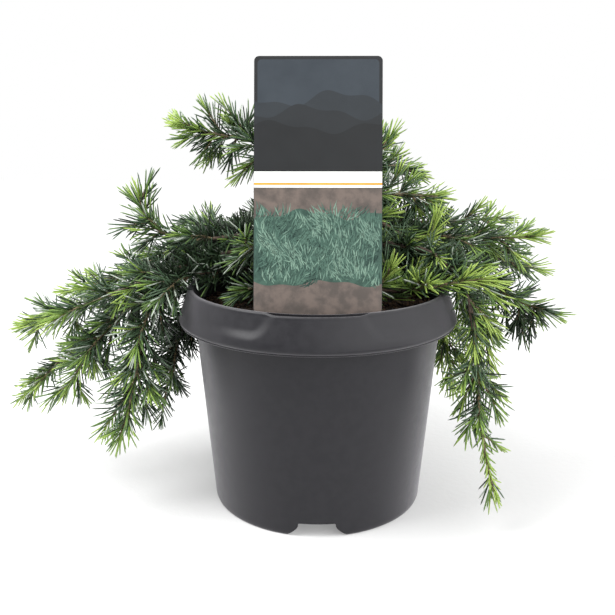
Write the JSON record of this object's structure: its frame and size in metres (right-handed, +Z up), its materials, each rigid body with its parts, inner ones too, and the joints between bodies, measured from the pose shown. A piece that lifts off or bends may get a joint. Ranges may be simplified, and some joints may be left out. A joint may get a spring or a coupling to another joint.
{
  "type": "potted deodar cedar",
  "caption": "Dwarf blue deodar cedar with spreading and weeping needled boughs, growing in a round nursery pot with a card label.",
  "frame": {"origin": "on the pot's axis, at the flat underside of the pot", "axes": "+Z up along the pot's axis, -Y towards the front where the card label stands, +X to the right seen from the front"},
  "size_m": [0.4044, 0.2797, 0.297],
  "materials": {
    "pot_plastic": "satin moulded dark grey plastic",
    "compost": "rough moist compost",
    "card": "printed plastic card, satin",
    "bark": "rough grey brown bark",
    "needles": "soft green needles, slightly waxy"
  },
  "bodies": {
    "root": {"pot": "pot_plastic", "soil": "compost", "label": "card", "trunk": "bark", "bough_left_high": "bark", "bough_left_back": "bark", "bough_left_upright": "bark", "bough_left_middle": "bark", "bough_left_long": "bark", "bough_left_far": "bark", "bough_left_fall": "bark", "bough_left_weep": "bark", "bough_left_inner": "bark", "bough_right_crest": "bark", "bough_right_upper": "bark", "bough_right_spread": "bark", "bough_right_reach": "bark", "bough_right_lower": "bark", "bough_right_far": "bark", "bough_right_front": "bark", "bough_right_weep": "bark", "bough_right_fall": "bark", "bough_right_inner": "bark", "bough_back_left": "bark", "bough_back_mid_left": "bark", "bough_back_mid_right": "bark", "bough_back_right": "bark", "foliage_leader": "needles", "foliage_left_high": "needles", "foliage_left_back": "needles", "foliage_left_upright": "needles", "foliage_left_middle": "needles", "foliage_left_long": "needles", "foliage_left_far": "needles", "foliage_left_fall": "needles", "foliage_left_weep": "needles", "foliage_left_inner": "needles", "foliage_right_high": "needles", "foliage_right_crest": "needles", "foliage_right_upper": "needles", "foliage_right_upright": "needles", "foliage_right_spread": "needles", "foliage_right_reach": "needles", "foliage_right_lower": "needles", "foliage_right_far": "needles", "foliage_right_front": "needles", "foliage_right_weep": "needles", "foliage_right_fall": "needles", "foliage_right_inner": "needles", "foliage_back_left": "needles", "foliage_back_mid_left": "needles", "foliage_back_mid_right": "needles", "foliage_back_right": "needles", "foliage_front_left": "needles", "foliage_front_right": "needles", "foliage_low_left": "needles", "foliage_low_right": "needles", "foliage_low_back": "needles"}
  },
  "joints": []
}
